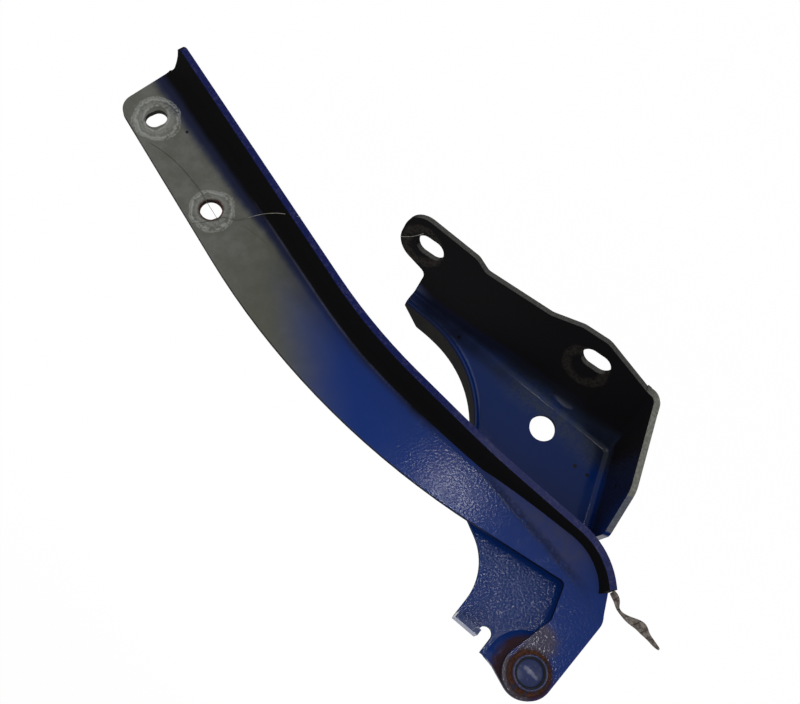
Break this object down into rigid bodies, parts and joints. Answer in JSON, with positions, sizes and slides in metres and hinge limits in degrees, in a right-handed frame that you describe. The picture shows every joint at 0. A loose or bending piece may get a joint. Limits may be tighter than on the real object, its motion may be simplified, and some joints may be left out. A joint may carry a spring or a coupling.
{
  "type": "hood hinge",
  "caption": "Hood hinge with a curved flanged arm riveted to a pressed bracket whose slotted flange bolts to the body; the arm swings up from the bracket.",
  "frame": {"origin": "midway between the two body slots, on the outer face of the bracket's slotted flange", "axes": "+X along the line of the two slots towards the front slot, -Z out of the slotted flange's outer face, +Y away from the side on which the hood arm lies"},
  "size_m": [0.3839, 0.1092, 0.1319],
  "materials": {
    "bracket_paint": "satin",
    "arm_paint": "satin",
    "rivet_paint": "satin",
    "bush_bronze": "dull",
    "washer_steel": "rusted",
    "dried_sealer": "matte"
  },
  "bodies": {
    "bracket": {"body_bracket": "bracket_paint", "pivot_rivet": "rivet_paint", "front_washer": "washer_steel", "spacer_washer": "washer_steel"},
    "arm": {"hood_arm": "arm_paint", "pivot_bush": "bush_bronze", "sealer_shred": "dried_sealer"}
  },
  "joints": [
    {"name": "arm_swing", "type": "hinge", "parent": "bracket", "child": "arm", "pos_m": [-0.1092, 0.08529, 0.1158], "axis": [-0.1024, -0.9341, 0.342], "range_deg": [0, 73]}
  ]
}
